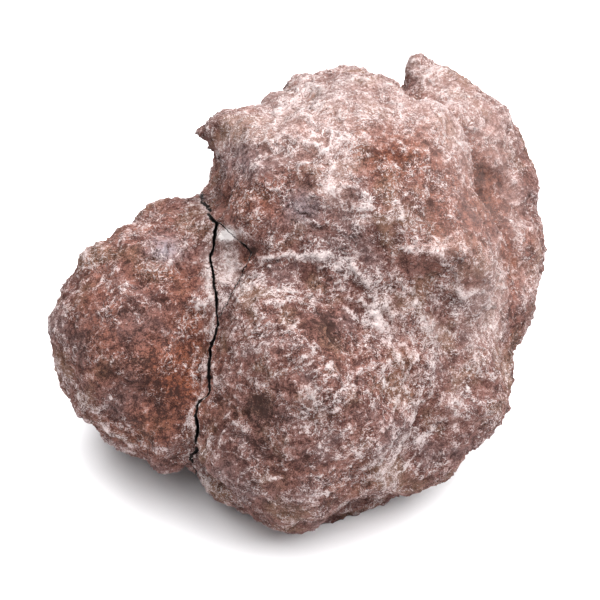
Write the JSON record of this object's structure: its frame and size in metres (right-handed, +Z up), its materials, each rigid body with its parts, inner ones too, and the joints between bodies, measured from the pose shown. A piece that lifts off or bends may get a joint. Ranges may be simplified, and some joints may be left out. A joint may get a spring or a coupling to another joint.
{
  "type": "amethyst geode",
  "caption": "Closed, lumpy geode nodule with rough rind, cracked through so that a smaller lobe is parted from the main stone; lies on a level underside.",
  "frame": {"origin": "middle of the footprint, on the surface that the stone rests on", "axes": "+Z up, -Y toward the side that the picture shows, +X to that side's right"},
  "size_m": [0.1006, 0.0988, 0.0752],
  "materials": {
    "rind": "matte",
    "fresh_rind": "matte"
  },
  "bodies": {
    "root": {"geode_body": "rind", "geode_split_piece": "rind", "rind_splinter": "fresh_rind"}
  },
  "joints": []
}
